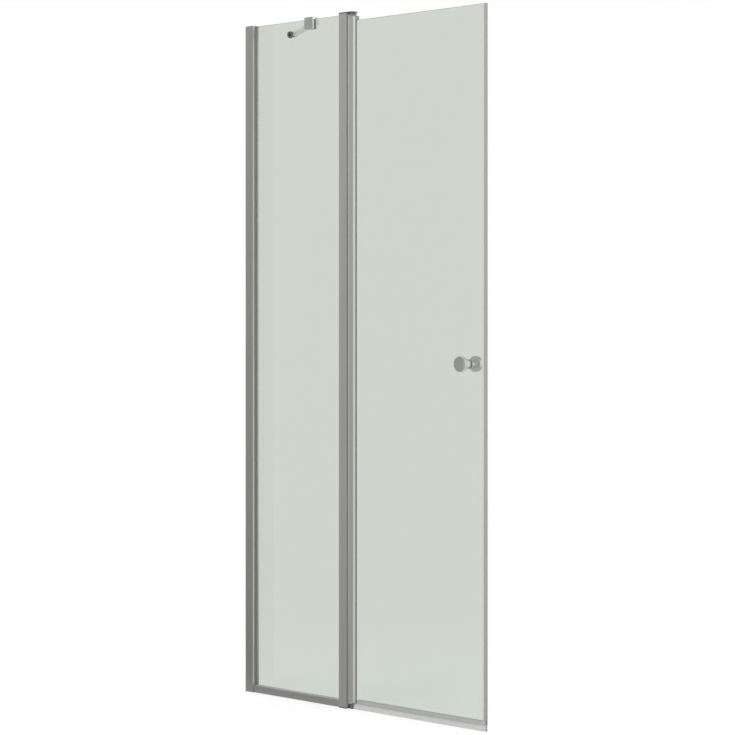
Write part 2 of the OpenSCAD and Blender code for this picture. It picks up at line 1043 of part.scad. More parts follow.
module bottom_seal_lip() {
    color("#d3d5d1")
        level(lip_x0, overall_w)
            for (lean = [-lip_lean, lip_lean])
                polygon([
                    [-seal_t / 2 + lean / 2, lip_root_z],
                    [lean - seal_t / 4, lip_gap],
                    [lean + seal_t / 4, lip_gap],
                    [seal_t / 2 + lean / 2, lip_root_z]
                ]);
}

module stabiliser_bar() {
    color("#c2c2bf")
        along_bar()
            difference() {
                translate([bar_start, 0, 0])
                    rotate([0, 90, 0])
                        cylinder(r = bar_r, h = bar_run - 2 * bar_start);
                rotate([0, 90, 0])
                    cylinder(r = bar_r - bar_t, h = bar_run);
                for (x = [grub_at, bar_run - grub_at])
                    translate([x, 0, -bar_r - past])
                        cylinder(d = grub_d + 2 * bore_fit, h = bar_r + past);
            }
}

module bar_end_clamp() {
    color("#b9b9b6")
        along_bar()
            bar_end();
}

module bar_end_wall() {
    color("#b9b9b6")
        along_bar_back()
            bar_end();
}

module bar_grub_screws() {
    color("#8d8e8c")
        along_bar()
            for (x = [grub_at, bar_run - grub_at])
                translate([x, 0, -bar_r])
                    socket_screw(grub_d, bar_r - 1);
}

module wall_flange() {
    color("#b9b9b6")
        difference() {
            translate([0, flange_pin[1], bar_z]) {
                rotate([0, 90, 0])
                    cylinder(d = flange_d, h = flange_t);
                translate([flange_pin_x, 0, 0])
                    rotate([0, 0, 180])
                        ears(flange_pin_x - flange_t + 0.5);
            }
            translate([-past, flange_pin[1], bar_z])
                rotate([0, 90, 0])
                    cylinder(d = flange_hole_d, h = flange_t + 2 * past);
        }
}

module flange_swivel_pin() {
    color("#c9c9c7")
        translate([flange_pin[0], flange_pin[1], bar_z])
            swivel_pin();
}

module flange_washers() {
    color("#2f302f")
        translate([flange_pin[0], flange_pin[1], bar_z])
            swivel_washers();
}

wall_channel();
glazing_profile();
profile_lock_screws();
profile_top_cap();
fixed_glass();
wall_gasket_outer();
wall_gasket_inner();
bottom_rail();
rail_gasket_outer();
rail_gasket_inner();
setting_blocks();
post_profile();
post_gasket_outer();
post_gasket_inner();
post_seal_outer();
post_seal_inner();
top_pivot_plate();
foot_pivot_plate();
top_plate_screws();
foot_plate_screws();
top_pivot_pin();
foot_pivot_pin();
top_pivot_bush();
foot_pivot_bush();
clamp_body();
clamp_pads();
clamp_set_screws();
clamp_swivel_pin();
clamp_washers();
hinge_tube();
upper_tube_plug();
lower_tube_plug();
door_glass();
hinge_gasket_outer();
hinge_gasket_inner();
knob_outer();
knob_inner();
knob_stud();
knob_sleeve();
knob_washers();
edge_seal();
edge_magnet();
bottom_seal();
bottom_seal_lip();
stabiliser_bar();
bar_end_clamp();
bar_end_wall();
bar_grub_screws();
wall_flange();
flange_swivel_pin();
flange_washers();
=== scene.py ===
# %% [markdown]
# # A shower door in toughened glass and anodised aluminium
# The real object hangs between a bathroom wall and a free edge: a narrow fixed
# pane in a wall profile, a hinge post, and a swinging pane that turns with a
# round tube on two pivot pins. Its construction is already exact in the CAD
# frame. This lesson dresses that frame: it softens edges, cuts the glass again
# with ground edges, turns the knobs on a lathe and gives each piece its finish.

import math

import bmesh
import bpy
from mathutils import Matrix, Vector


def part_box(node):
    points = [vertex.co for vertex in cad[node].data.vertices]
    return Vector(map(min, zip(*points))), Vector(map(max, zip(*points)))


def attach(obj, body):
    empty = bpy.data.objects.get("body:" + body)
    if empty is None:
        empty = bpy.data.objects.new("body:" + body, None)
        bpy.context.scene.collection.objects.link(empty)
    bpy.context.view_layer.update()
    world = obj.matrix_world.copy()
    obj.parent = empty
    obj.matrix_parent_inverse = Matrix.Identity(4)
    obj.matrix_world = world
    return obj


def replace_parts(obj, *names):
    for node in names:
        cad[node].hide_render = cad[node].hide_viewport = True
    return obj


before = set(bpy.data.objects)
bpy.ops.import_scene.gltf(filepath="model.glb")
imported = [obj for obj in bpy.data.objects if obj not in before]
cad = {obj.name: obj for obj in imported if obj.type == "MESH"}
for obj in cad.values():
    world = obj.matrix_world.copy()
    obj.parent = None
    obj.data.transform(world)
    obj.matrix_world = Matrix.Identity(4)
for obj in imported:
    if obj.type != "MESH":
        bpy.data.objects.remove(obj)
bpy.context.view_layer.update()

# %% [markdown]
# ## Camera
# The photograph was taken from far away at breast height, with the camera level
# and turned 45 degrees to the door. A level camera keeps the uprights upright.
# The object then sits low or high in the picture by a lens shift, never by
# tilting, which is how an architect's photographer works too.

# %% Camera
FILM_MM = 36
LENS_MM = 111.086
CAMERA_AT = Vector((4.6976, -4.2306, 1.0376))
CAMERA_TURN = math.radians(45)
CAMERA_LEVEL = math.radians(90)
LENS_RISE = -0.06751

camera_data = bpy.data.cameras.new("camera")
camera_data.sensor_width = FILM_MM
camera_data.lens = LENS_MM
camera_data.shift_y = LENS_RISE
camera = bpy.data.objects.new("camera", camera_data)
camera.location = CAMERA_AT
camera.rotation_euler = (CAMERA_LEVEL, 0, CAMERA_TURN)
bpy.context.scene.collection.objects.link(camera)
bpy.context.scene.camera = camera
bpy.context.scene.view_settings.view_transform = "Standard"
print("camera", LENS_MM, "mm lens,", round(CAMERA_AT.length, 2), "m from the wall's foot")

# %% [markdown]
# ## Helpers for every finish
# A finish is a small network of shader nodes. One helper adds a node with its
# settings and its links, so that each material below reads from top to bottom.
# Another turns an sRGB colour, as a paint chart or a picture gives it, into the
# linear numbers that the renderer counts with. A third starts a new material.


# %% Helpers for finishes
def add(tree, kind, inputs=None, **settings):
    """Adds a node with its settings, and with a value or a link for each of the named inputs."""
    made = tree.nodes.new(kind)
    for name, value in settings.items():
        setattr(made, name, value)
    for socket, value in (inputs or {}).items():
        if isinstance(value, bpy.types.NodeSocket):
            tree.links.new(value, made.inputs[socket])
        else:
            made.inputs[socket].default_value = value
    return made


def linear(hex_colour):
    """An sRGB colour such as "#B4B4B1" as linear red, green, blue and alpha."""
    channels = [int(hex_colour[i:i + 2], 16) / 255 for i in (1, 3, 5)]
    return [c / 12.92 if c <= 0.04045 else ((c + 0.055) / 1.055) ** 2.4 for c in channels] + [1.0]


def empty_finish(name):
    """A new material with nothing but its output node."""
    material = bpy.data.materials.new(name)
    material.use_nodes = True
    material.node_tree.nodes.clear()
    return material, material.node_tree, add(material.node_tree, "ShaderNodeOutputMaterial")


MM = 0.001
WHITE = linear("#FFFFFF")
print("one millimetre is", MM, "scene units")

# %% [markdown]
# ## White studio
# Catalogue pictures stand on seamless white. Here the world is plain white to
# the eye, in mirrors and through glass, and a little dimmer where it lights the
# object, because more light would bleach it. What polished metal shows is set by
# a tent further down.

# %% World
EYE_WHITE = 1.0
ROOM_LIGHT = 0.62


def looked_at(tree):
    """One for a ray from the eye, a mirror or glass, and zero for one that only brings light."""
    ray = add(tree, "ShaderNodeLightPath").outputs
    seen = add(tree, "ShaderNodeMath", {0: ray["Is Camera Ray"], 1: ray["Is Transmission Ray"]},
               operation="MAXIMUM")
    return add(tree, "ShaderNodeMath", {0: seen.outputs[0], 1: ray["Is Glossy Ray"]},
               operation="MAXIMUM").outputs[0]


world = bpy.data.worlds.new("white_studio")
bpy.context.scene.world = world
world.use_nodes = True
sky = world.node_tree
sky.nodes.clear()
strength = add(sky, "ShaderNodeMix", {0: looked_at(sky), 2: ROOM_LIGHT, 3: EYE_WHITE})
white = add(sky, "ShaderNodeBackground", {"Color": WHITE, "Strength": strength.outputs[0]})
add(sky, "ShaderNodeOutputWorld", {"Surface": white.outputs[0]})
print("world lights at", ROOM_LIGHT, "and shows at", EYE_WHITE)

# %% [markdown]
# ## Floor
# A real studio floor is white paper. Lit evenly it comes out as white as the
# background, and only the shadow shows where the object stands. The paper is a
# plain matt sheet for the light that it throws back. What the eye sees of it is
# lifted by a glow in the material. Far from the object it is all glow, so that
# the paper meets the background unseen, and near its foot it keeps the shadow.

# %% Floor
MIDDLE_X = 0.45
FLOOR_HALF = 40.0
GLOW = 0.67
SHADOW_PAPER = 0.42
SHADOW_R = 0.7
GLOW_R = 2.2


def studio_paper():
    """White background paper: matt, lifted to white for the eye, with the shadow kept."""
    material, tree, out = empty_finish("white_background_paper")
    matt = add(tree, "ShaderNodeBsdfDiffuse", {"Color": linear("#DEDEDD")})
    under_shadow = add(tree, "ShaderNodeBsdfDiffuse", {"Color": [SHADOW_PAPER] * 3 + [1.0]})
    glow = add(tree, "ShaderNodeEmission", {"Color": WHITE, "Strength": GLOW})
    near = add(tree, "ShaderNodeAddShader", {0: under_shadow.outputs[0], 1: glow.outputs[0]})
    far = add(tree, "ShaderNodeEmission", {"Color": WHITE, "Strength": EYE_WHITE})
    place = add(tree, "ShaderNodeTexCoord")
    from_foot = add(tree, "ShaderNodeVectorMath", {0: place.outputs["Object"], 1: (MIDDLE_X, 0, 0)},
                    operation="DISTANCE")
    away = add(tree, "ShaderNodeMapRange", {
        "Value": from_foot.outputs["Value"], "From Min": SHADOW_R, "From Max": GLOW_R,
    })
    lifted = add(tree, "ShaderNodeMixShader", {0: away.outputs[0], 1: near.outputs[0], 2: far.outputs[0]})
    both = add(tree, "ShaderNodeMixShader", {0: looked_at(tree), 1: matt.outputs[0], 2: lifted.outputs[0]})
    tree.links.new(both.outputs[0], out.inputs["Surface"])
    return material


def link(name, mesh, *finishes):
    """Puts a mesh into the scene with its finishes."""
    made = bpy.data.objects.new(name, mesh)
    for material in finishes:
        mesh.materials.append(material)
    bpy.context.scene.collection.objects.link(made)
    return made


sheet = bpy.data.meshes.new("studio_floor")
sheet_corners = [(x * FLOOR_HALF, y * FLOOR_HALF, 0) for x, y in ((-1, -1), (1, -1), (1, 1), (-1, 1))]
sheet.from_pydata(sheet_corners, [], [(0, 1, 2, 3)])
studio_floor = link("studio_floor", sheet, studio_paper())
print("floor", 2 * FLOOR_HALF, "m wide")

# %% [markdown]
# ## Lamps
# Two big soft boxes, as a product photographer sets them: one high before the
# door that gives the soft shadow on the floor, and one behind its right side.
# They are wide, so that no shadow is hard, and metal doesn't mirror them: what it
# mirrors is the tent.

# %% Lamps
AIM = Vector((MIDDLE_X, 0, 0.95))


def soft_box(name, at, width, watts):
    """A square area lamp that looks at the middle of the door."""
    data = bpy.data.lights.new(name, "AREA")
    data.size = width
    data.energy = watts
    lamp = bpy.data.objects.new(name, data)
    lamp.location = at
    lamp.rotation_euler = (AIM - Vector(at)).to_track_quat("-Z", "Y").to_euler()
    lamp.visible_glossy = False
    lamp.visible_transmission = False
    bpy.context.scene.collection.objects.link(lamp)
    return lamp


soft_box("box_before_the_door", (1.4, -3.6, 4.2), 2.6, 95)
soft_box("box_behind_the_right", (3.6, 3.2, 2.6), 2.0, 60)

# %% [markdown]
# ## Tent
# Bright metal has no shade of its own: it shows what stands round it. So silver
# and chrome are photographed in a tent of white cloth that is lit unevenly, and
# the cloth's shades draw the shape of the metal. This one is a drum with a floor
# and a roof. Its wall is brighter behind the right side of the door, dimmer to
# the left and a little dimmer down low. The floor has a bright side of its own
# and fades into the wall at the rim, and the roof is dim. Only mirrors see it.

# %% Size and shades of the tent
TENT_R = 2.4
TENT_H = 3.2


def heading(degrees):
    """Level direction, counted from the door's free edge round to the inside of the shower."""
    return Vector((math.cos(math.radians(degrees)), math.sin(math.radians(degrees)), 0))


WALL_SIDE = heading(88)
WALL_FADE = (-0.72, 0.10)
WALL_DIM = 0.385
WALL_BRIGHT = 1.02
WALL_FOOT = 0.80
WALL_FULL_AT = 2.2
FLOOR_SIDE = heading(60)
FLOOR_FADE = (-0.35, 0.30)
FLOOR_DIM = 0.31
FLOOR_BRIGHT = 0.65
ROOF_FROM = 2.5
ROOF_SHADE = 0.50
print("tent", 2 * TENT_R, "m across, its wall glows from", WALL_DIM, "to", WALL_BRIGHT)

# %% [markdown]
# The cloth's shade is worked out from the direction in which a point lies from
# the middle, by a dot product, and from its height. So it stays with the tent
# and moves with no camera.


# %% Cloth of the tent
def tent_cloth():
    """Cloth that glows by its direction from the middle, and more with its height."""
    material, tree, out = empty_finish("lit_tent_cloth")
    place = add(tree, "ShaderNodeTexCoord")
    height = add(tree, "ShaderNodeSeparateXYZ", {0: place.outputs["Object"]})
    level = add(tree, "ShaderNodeVectorMath", {0: place.outputs["Object"], 1: (1, 1, 0)},
                operation="MULTIPLY")
    outward = add(tree, "ShaderNodeVectorMath", {0: level.outputs["Vector"]}, operation="NORMALIZE")
    along_wall = add(tree, "ShaderNodeVectorMath", {0: outward.outputs["Vector"], 1: WALL_SIDE},
                     operation="DOT_PRODUCT")
    side = add(tree, "ShaderNodeMapRange", {
        "Value": along_wall.outputs["Value"], "From Min": WALL_FADE[0], "From Max": WALL_FADE[1],
        "To Min": WALL_DIM, "To Max": WALL_BRIGHT,
    })
    rise = add(tree, "ShaderNodeMapRange", {
        "Value": height.outputs["Z"], "From Min": 0.0, "From Max": WALL_FULL_AT,
        "To Min": WALL_FOOT, "To Max": 1.0,
    })
    wall = add(tree, "ShaderNodeMath", {0: side.outputs[0], 1: rise.outputs[0]}, operation="MULTIPLY")
    along_floor = add(tree, "ShaderNodeVectorMath", {0: outward.outputs["Vector"], 1: FLOOR_SIDE},
                      operation="DOT_PRODUCT")
    floor = add(tree, "ShaderNodeMapRange", {
        "Value": along_floor.outputs["Value"], "From Min": FLOOR_FADE[0], "From Max": FLOOR_FADE[1],
        "To Min": FLOOR_DIM, "To Max": FLOOR_BRIGHT,
    })
    away = add(tree, "ShaderNodeVectorMath", {0: level.outputs["Vector"]}, operation="LENGTH")
    rim = add(tree, "ShaderNodeMapRange", {
        "Value": away.outputs["Value"], "From Min": TENT_R / 2, "From Max": TENT_R,
    })
    walled = add(tree, "ShaderNodeMix", {0: rim.outputs[0], 2: floor.outputs[0], 3: wall.outputs[0]})
    overhead = add(tree, "ShaderNodeMapRange", {
        "Value": height.outputs["Z"], "From Min": ROOF_FROM, "From Max": TENT_H,
    })
    shade = add(tree, "ShaderNodeMix", {0: overhead.outputs[0], 2: walled.outputs[0], 3: ROOF_SHADE})
    glow = add(tree, "ShaderNodeEmission", {"Color": WHITE, "Strength": shade.outputs[0]})
    tree.links.new(glow.outputs[0], out.inputs["Surface"])
    return material


def only_for_mirrors(thing, *more_rays):
    """Hides a thing from the eye, and keeps it from lighting or shading anything."""
    for kind in ("camera", "diffuse", "volume_scatter", "shadow", *more_rays):
        setattr(thing, "visible_" + kind, False)


drum = bmesh.new()
bmesh.ops.create_cone(drum, cap_ends=True, segments=96, radius1=TENT_R, radius2=TENT_R, depth=TENT_H)
bmesh.ops.translate(drum, vec=(0, 0, TENT_H / 2), verts=drum.verts)
drum_mesh = bpy.data.meshes.new("tent")
drum.to_mesh(drum_mesh)
drum.free()
tent = link("tent", drum_mesh, tent_cloth())
tent.location = (AIM.x, AIM.y, MM)
only_for_mirrors(tent, "transmission")
print("tent made of", len(drum_mesh.polygons), "faces, mirrored only")

# %% [markdown]
# ## Cards
# Two cards stand inside the tent, as they would in a studio. A white one behind
# the right side is brighter than the cloth, and metal edges that face it show a
# thin bright line. A grey one close to the wall side takes light off the front of
# the wall profile, which is darker than the post in the same picture. Both are
# outside the picture and only for mirrors: a ray that comes from no mirror goes
# through them, so that neither shows through a pane of glass.

# %% Cards
CARD_FOOT = 10 * MM


def card(name, at, turn, size, glow):
    """Upright board, size metres wide and high, that glows from glow[0] at its foot to glow[1] at its top."""
    finish, tree, out = empty_finish(name + "_board")
    place = add(tree, "ShaderNodeTexCoord")
    height = add(tree, "ShaderNodeSeparateXYZ", {0: place.outputs["Object"]})
    shade = add(tree, "ShaderNodeMapRange", {
        "Value": height.outputs["Z"], "From Max": size[1], "To Min": glow[0], "To Max": glow[1],
    })
    light = add(tree, "ShaderNodeEmission", {"Color": WHITE, "Strength": shade.outputs[0]})
    unseen = add(tree, "ShaderNodeBsdfTransparent")
    ray = add(tree, "ShaderNodeLightPath")
    mirrored = add(tree, "ShaderNodeMath", {0: ray.outputs["Glossy Depth"], 1: 0.5},
                   operation="GREATER_THAN")
    both = add(tree, "ShaderNodeMixShader", {
        0: mirrored.outputs[0], 1: unseen.outputs[0], 2: light.outputs[0],
    })
    tree.links.new(both.outputs[0], out.inputs["Surface"])
    half, top = size[0] / 2, size[1]
    mesh = bpy.data.meshes.new(name)
    corners = [(0, -half, 0), (0, half, 0), (0, half, top), (0, -half, top)]
    mesh.from_pydata(corners, [], [(0, 1, 2, 3)])
    board = link(name, mesh, finish)
    board.location = (*at, CARD_FOOT)
    board.rotation_euler.z = math.radians(turn)
    only_for_mirrors(board)
    return board


white_card = card("white_card", (2.36, 1.10), 30, (2.0, 2.6), (1.25, 1.25))
grey_card = card("grey_card", (-0.095, -0.114), 42, (0.10, 2.0), (0.25, 0.38))
for board in (white_card, grey_card):
    print(board.name, [round(v, 2) for v in board.dimensions], "m")

# %% [markdown]
# ## Anodised aluminium
# The profiles are extruded, brushed lengthwise and anodised matt silver. That
# gives the eye a soft grey mirror: reflections are drawn out along the bar, and
# fine lines run its whole length. The lines are a noise that is squeezed across
# the bar and stretched along it. Real brush lines are 0.05 mm apart; they are
# drawn 1.5 mm apart, because finer ones would not show. The tube is smoother
# than the flat profiles, because it is polished before it is anodised.

# %% Anodised aluminium
BRUSH_PITCH = 1.5 * MM
BRUSH_RUN = 0.4
BRUSH_DEPTH = 0.02 * MM
UPRIGHT, LEVEL, NO_GRAIN = (0, 0, 1), (1, 0, 0), (0, 0, 0)


def brushed(name, colours, roughness, grain, pitch=BRUSH_PITCH, depth=BRUSH_DEPTH):
    """Metal with lines along the axes that are 1 in grain, pitch metres apart and depth metres deep."""
    material, tree, out = empty_finish(name)
    place = add(tree, "ShaderNodeTexCoord")
    squeezed = add(tree, "ShaderNodeMapping", {
        "Vector": place.outputs["Object"], "Scale": [1 / BRUSH_RUN if axis else 1 / pitch for axis in grain],
    })
    lines = add(tree, "ShaderNodeTexNoise", {
        "Vector": squeezed.outputs[0], "Scale": 1.0, "Detail": 3.0, "Roughness": 0.6,
    })
    fac = lines.outputs["Fac"]
    gloss = add(tree, "ShaderNodeMapRange", {"Value": fac, "To Min": roughness[0], "To Max": roughness[1]})
    relief = add(tree, "ShaderNodeBump", {"Height": fac, "Strength": 0.35, "Distance": depth})
    shade = add(tree, "ShaderNodeMapRange", {"Value": fac, "From Min": 0.3, "From Max": 0.7})
    tone = add(tree, "ShaderNodeMix", {0: shade.outputs[0], 6: linear(colours[1]), 7: linear(colours[0])},
               data_type="RGBA")
    metal = add(tree, "ShaderNodeBsdfPrincipled", {
        "Base Color": tone.outputs[2], "Metallic": 1.0, "Roughness": gloss.outputs[0],
        "Normal": relief.outputs[0],
    })
    tree.links.new(metal.outputs[0], out.inputs["Surface"])
    return material


# The four copies differ in brightness as painted light: the tube's colour is lighter, a painted highlight,
# and the wall profile's and the bottom rail's are darker than the post's, painted shade.
anodised_wall = brushed("anodised_aluminium_wall_profile", ("#DFDFDC", "#D8D8D5"), (0.26, 0.34), UPRIGHT)
anodised_upright = brushed("anodised_aluminium_upright", ("#EDEDEA", "#E6E6E3"), (0.28, 0.36), UPRIGHT)
anodised_tube = brushed("anodised_aluminium_tube", ("#FAFAF7", "#F4F4F1"), (0.16, 0.22), UPRIGHT)
anodised_level = brushed("anodised_aluminium_level", ("#E0E0DD", "#D9D9D6"), (0.28, 0.36), LEVEL)
print("brush lines", BRUSH_PITCH / MM, "mm apart and", BRUSH_RUN, "m long")

# %% [markdown]
# ## Chrome and steel
# The clamp, the knobs and the bar with its end are satin chromed, a silky mirror
# without a grain. Screws and pins are plain stainless steel, a little greyer.
# The pivot plates and the bar's fitting on the wall are steel drawn darker than
# all the other metal, because the photograph shows them so: in part a darker
# steel and in part painted shade. Their faint cloudy mottling would be 0.1 mm
# wide in life and is drawn 1 to 2 mm wide.

# %% Chrome and steel
CLOUD = 2 * MM
FINE_CLOUD = 1.2 * MM
CLOUD_DEPTH = 0.01 * MM

bar_chrome = brushed("satin_chrome_bar", ("#E6E6E4", "#E0E0DE"), (0.25, 0.32), NO_GRAIN, CLOUD, CLOUD_DEPTH)
satin_chrome = brushed("satin_chrome", ("#E4E4E1", "#DCDCD9"), (0.18, 0.24), NO_GRAIN, CLOUD, CLOUD_DEPTH)
knob_chrome = brushed("satin_chrome_turned_side", ("#F0F0ED", "#E9E9E6"), (0.28, 0.34),
                      NO_GRAIN, CLOUD, CLOUD_DEPTH)
stainless = brushed("stainless_steel", ("#A9A9A7", "#9C9C9A"), (0.26, 0.36),
                    NO_GRAIN, FINE_CLOUD, CLOUD_DEPTH)
# Darker than the other metal, in part as painted shade.
plate_steel = brushed("dark_steel_with_painted_shade", ("#92918F", "#848381"), (0.38, 0.48), NO_GRAIN, CLOUD)
print("chrome and steel:", [m.name for m in (bar_chrome, satin_chrome, knob_chrome, stainless, plate_steel)])

# %% [markdown]
# ## Turned chrome
# The face of a knob shows the lathe's tool: fine rings round its middle. Real
# ones are about 0.1 mm apart and are drawn 0.9 mm apart here.

# %% Turned chrome
knob_low, knob_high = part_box("knob_outer")
knob_axis = ((knob_low.x + knob_high.x) / 2, (knob_low.z + knob_high.z) / 2)
RINGS = 0.9 * MM


def turned(name, colours, roughness):
    """Metal with fine rings round the axis of the knobs."""
    material, tree, out = empty_finish(name)
    place = add(tree, "ShaderNodeTexCoord")
    centred = add(tree, "ShaderNodeVectorMath", {
        0: place.outputs["Object"], 1: (knob_axis[0], 0, knob_axis[1]),
    }, operation="SUBTRACT")
    flat = add(tree, "ShaderNodeVectorMath", {0: centred.outputs[0], 1: (1, 0, 1)}, operation="MULTIPLY")
    away = add(tree, "ShaderNodeVectorMath", {0: flat.outputs[0]}, operation="LENGTH")
    rings = add(tree, "ShaderNodeTexNoise", {
        "W": away.outputs["Value"], "Scale": 1 / RINGS, "Detail": 3.0,
    }, noise_dimensions="1D")
    fac = rings.outputs["Fac"]
    gloss = add(tree, "ShaderNodeMapRange", {"Value": fac, "To Min": roughness[0], "To Max": roughness[1]})
    tone = add(tree, "ShaderNodeMix", {0: fac, 6: linear(colours[0]), 7: linear(colours[1])},
               data_type="RGBA")
    relief = add(tree, "ShaderNodeBump", {"Height": fac, "Strength": 0.25, "Distance": 0.01 * MM})
    metal = add(tree, "ShaderNodeBsdfPrincipled", {
        "Base Color": tone.outputs[2], "Metallic": 1.0, "Roughness": gloss.outputs[0],
        "Normal": relief.outputs[0],
    })
    tree.links.new(metal.outputs[0], out.inputs["Surface"])
    return material


# The face's faint green cast is a painted reflection tint: chrome has no green of its own.
turned_face = turned("turned_chrome_face", ("#ECF1EA", "#E4E9E2"), (0.2, 0.28))
print("rings", RINGS / MM, "mm apart about", [round(v, 4) for v in knob_axis])

# %% [markdown]
# ## Rubber and plastic
# Extruded rubber and moulded plastic are dull: a faint mottling and a wide, weak
# gloss. Clear plastic looks milky, because it is clear only in part. The edge
# seal shows the dark magnet strip through its wall, so that its colour has to
# change from its clip on the glass to its striking face.

# %% Moulded finish
RUBBER_GRAIN = 3 * MM
PLASTIC_GRAIN = 2 * MM
SEAL_GRAIN = 12 * MM
EDGE_GRAIN = 20 * MM


def moulded(name, colours, roughness, grain, clear=0.0, ior=1.5, core=None):
    """Moulded or extruded plastic: mottled over grain metres, clear from 0 to 1.

    core is what shows through it from inside: its lowest and highest X and its colour.
    """
    material, tree, out = empty_finish(name)
    place = add(tree, "ShaderNodeTexCoord")
    mottle = add(tree, "ShaderNodeTexNoise", {
        "Vector": place.outputs["Object"], "Scale": 1 / grain, "Detail": 4.0,
    })
    fac = mottle.outputs["Fac"]
    relief = add(tree, "ShaderNodeBump", {"Height": fac, "Strength": 0.2, "Distance": 0.05 * MM})
    gloss = add(tree, "ShaderNodeMapRange", {"Value": fac, "To Min": roughness[0], "To Max": roughness[1]})
    tone = add(tree, "ShaderNodeMix", {0: fac, 6: linear(colours[0]), 7: linear(colours[1])},
               data_type="RGBA")
    if core:
        across = add(tree, "ShaderNodeSeparateXYZ", {0: place.outputs["Object"]})
        inside = add(tree, "ShaderNodeMapRange", {
            "Value": across.outputs["X"], "From Min": core[0], "From Max": core[1],
        }, interpolation_type="SMOOTHSTEP")
        tone = add(tree, "ShaderNodeMix", {0: inside.outputs[0], 6: tone.outputs[2], 7: linear(core[2])},
                   data_type="RGBA")
    plastic = add(tree, "ShaderNodeBsdfPrincipled", {
        "Base Color": tone.outputs[2], "Roughness": gloss.outputs[0], "Normal": relief.outputs[0], "IOR": ior,
        "Transmission Weight": clear,
    })
    tree.links.new(plastic.outputs[0], out.inputs["Surface"])
    return material


print("mottling from", PLASTIC_GRAIN / MM, "to", EDGE_GRAIN / MM, "mm wide")

# %% [markdown]
# The outer gaskets at the wall and in the tube and the lips at the tube are EPDM
# rubber, extruded in greys. The other gaskets are pale TPE. Bushes, pads, setting
# blocks and the swivels' washers are moulded acetal, the cap and the tube's plugs
# moulded ABS. The seals and the knobs' sleeve and washers are soft PVC, milky
# where it is thick and bright where light enters its edges. The magnet strip is
# dark, bound in plastic.

# %% Gaskets, bushes and seals
# The post's seals and the tube's outer gasket are partly their rubber's own grey and partly painted light,
# and the white of the wall's inner gasket is painted light: each is drawn lighter to lift the shade it lies
# in.
rubber_dark = moulded("epdm_rubber_dark", ("#7E7F7C", "#858683"), (0.6, 0.8), RUBBER_GRAIN)
rubber_grey = moulded("epdm_rubber_grey", ("#8B8C89", "#929390"), (0.6, 0.8), RUBBER_GRAIN)
rubber_thin = moulded("epdm_rubber_pale", ("#A8A9A6", "#AFB0AD"), (0.6, 0.8), RUBBER_GRAIN)
rubber_light = moulded("tpe_gasket_light", ("#DEE0DC", "#E3E5E1"), (0.5, 0.7), RUBBER_GRAIN)
rubber_white_painted_light = moulded("tpe_gasket_white_painted_light", ("#F3F4F1", "#F6F7F4"), (0.5, 0.7), RUBBER_GRAIN)
acetal_grey = moulded("acetal_grey", ("#7A7977", "#82817F"), (0.4, 0.6), PLASTIC_GRAIN)
cap_grey = moulded("abs_cap_grey", ("#9B9C99", "#A3A4A1"), (0.4, 0.55), PLASTIC_GRAIN)
pvc_clip = moulded("pvc_clip_milky", ("#C4C7C2", "#C7CAC5"), (0.35, 0.45), SEAL_GRAIN, clear=0.1)
pvc_lip = moulded("pvc_lip_clear", ("#E8E9E6", "#EBECE9"), (0.3, 0.4), SEAL_GRAIN, clear=0.15)
edge_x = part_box("edge_seal")[0].x
edge_core = (edge_x + 3 * MM, edge_x + 7 * MM, "#B1B2AC")
pvc_edge = moulded("pvc_edge_clear", ("#DDDED7", "#E0E1DA"), (0.3, 0.4), EDGE_GRAIN,
                   clear=0.1, core=edge_core)
magnet_dark = moulded("magnet_strip", ("#5E5F5D", "#666765"), (0.5, 0.7), PLASTIC_GRAIN)
print("seals:", [m.name for m in (pvc_clip, pvc_lip, pvc_edge)])

# %% [markdown]
# ## Toughened glass
# A 6 mm pane of float glass is green-grey where light goes through it, mirrors
# about a tenth at this angle, and has ground edges that look pale and frosted.
# A lamp's light passes through it and leaves hardly a shadow, so for shadow rays
# the glass is a tinted opening: a renderer can't find those paths by itself.
# Rollers in the toughening oven leave a waviness of a few hundredths of a
# millimetre every 30 cm, which shows only in reflections. It is drawn twice as
# long, so that it stays quiet in a small picture.

# %% Toughened glass
GLASS_IOR = 1.52
GRINDING = 1.2 * MM


def toughened_glass():
    """The clear faces of a pane."""
    material, tree, out = empty_finish("toughened_glass")
    place = add(tree, "ShaderNodeTexCoord")
    waves = add(tree, "ShaderNodeTexWave", {
        "Vector": place.outputs["Object"], "Scale": 0.5, "Distortion": 1.5, "Detail": 1.0,
    }, bands_direction="Z")
    rollers = add(tree, "ShaderNodeBump", {
        "Height": waves.outputs["Fac"], "Strength": 0.2, "Distance": 0.03 * MM,
    })
    glass = add(tree, "ShaderNodeBsdfPrincipled", {
        "Base Color": linear("#D2D8D0"), "Roughness": 0.0, "IOR": GLASS_IOR, "Transmission Weight": 1.0,
        "Normal": rollers.outputs[0],
    })
    opening = add(tree, "ShaderNodeBsdfTransparent", {"Color": linear("#F2F5F1")})
    ray = add(tree, "ShaderNodeLightPath")
    both = add(tree, "ShaderNodeMixShader", {
        0: ray.outputs["Is Shadow Ray"], 1: glass.outputs[0], 2: opening.outputs[0],
    })
    tree.links.new(both.outputs[0], out.inputs["Surface"])
    return material


clear_glass = toughened_glass()
ground_edge = moulded("ground_glass_edge", ("#C4CBC4", "#CBD2CB"), (0.35, 0.5), GRINDING,
                      clear=0.5, ior=GLASS_IOR)
print("glass:", clear_glass.name, "edges:", ground_edge.name)

# %% [markdown]
# ## Soft edges
# No extruded or machined edge is knife sharp, and the thin bright line along
# each edge is what makes metal look real. The CAD solids stay as they are:
# modifiers weld the imported triangles, join the flat ones into whole faces,
# round the sharp edges by a fraction of a millimetre and even out the shading.

# %% Soft edges
WELD = 0.001 * MM
FLAT_WITHIN = 0.01
SHARP_FROM = math.radians(35)


